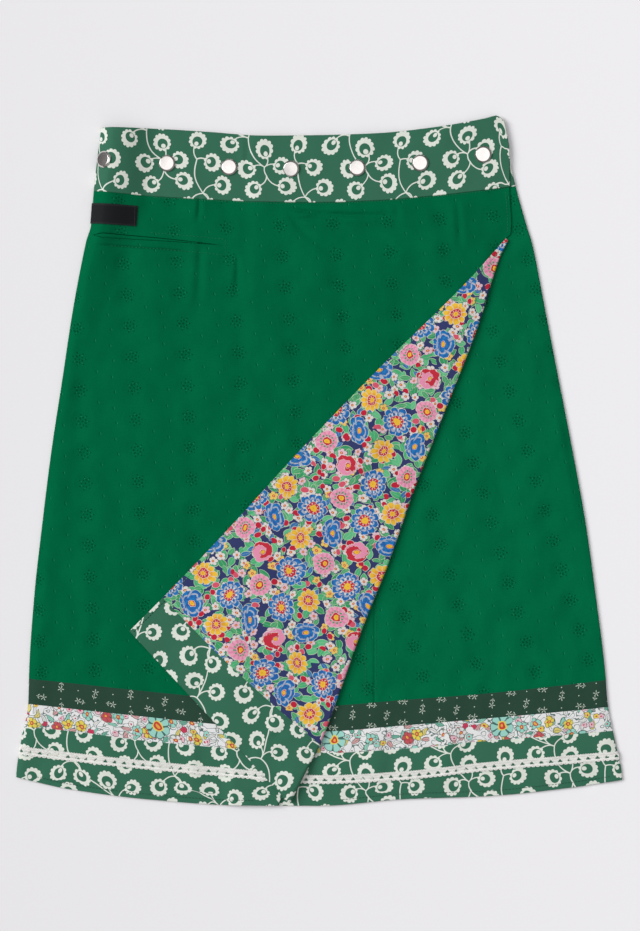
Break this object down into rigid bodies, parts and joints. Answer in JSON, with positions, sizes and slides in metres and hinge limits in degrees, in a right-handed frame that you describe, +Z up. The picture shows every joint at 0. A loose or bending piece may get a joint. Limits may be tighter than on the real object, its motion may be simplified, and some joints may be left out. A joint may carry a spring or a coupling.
{
  "type": "wrap skirt",
  "caption": "Snap-waist wrap skirt laid flat, one front over the other with its lower corner turned back to show the lining and hem facing.",
  "frame": {"origin": "middle of the bounding box, on the surface the skirt lies on", "axes": "+Y runs up the skirt from hem to waistband, +X to the picture's right, +Z up from the surface"},
  "size_m": [0.5459, 0.6192, 0.0192],
  "materials": {
    "green_cloth": "matte green cotton with small self-coloured embroidered rosettes",
    "scallop_print": "mid green cotton printed with cream scalloped ring flowers on thin vines",
    "sprig_print": "dark green cotton with tiny cream sprigs",
    "floral_print": "pale cotton printed with a small mint and pink floral",
    "lining_print": "navy cotton covered with a bright mixed floral",
    "lace_cotton": "white crocheted cotton lace edging",
    "label_tape": "plain black woven tape",
    "nickel": "polished nickel snap caps"
  },
  "bodies": {
    "root": {"back_waistband": "scallop_print", "back_panel": "green_cloth", "back_sprig_band": "sprig_print", "back_floral_band": "floral_print", "back_hem_band": "scallop_print", "underlap_waistband": "scallop_print", "underlap_panel": "green_cloth", "underlap_front_panel": "green_cloth", "underlap_sprig_band": "sprig_print", "underlap_floral_band": "floral_print", "underlap_hem_band": "scallop_print", "underlap_lace": "lace_cotton", "overlap_waistband": "scallop_print", "overlap_panel": "green_cloth", "overlap_sprig_band": "sprig_print", "overlap_floral_band": "floral_print", "overlap_hem_band": "scallop_print", "overlap_lace": "lace_cotton", "flap_lining": "lining_print", "flap_facing": "scallop_print", "pocket_welt": "green_cloth", "label": "label_tape", "snap_1": "nickel", "snap_2": "nickel", "snap_3": "nickel", "snap_4": "nickel", "snap_5": "nickel", "snap_6": "nickel", "snap_7": "nickel"}
  },
  "joints": []
}
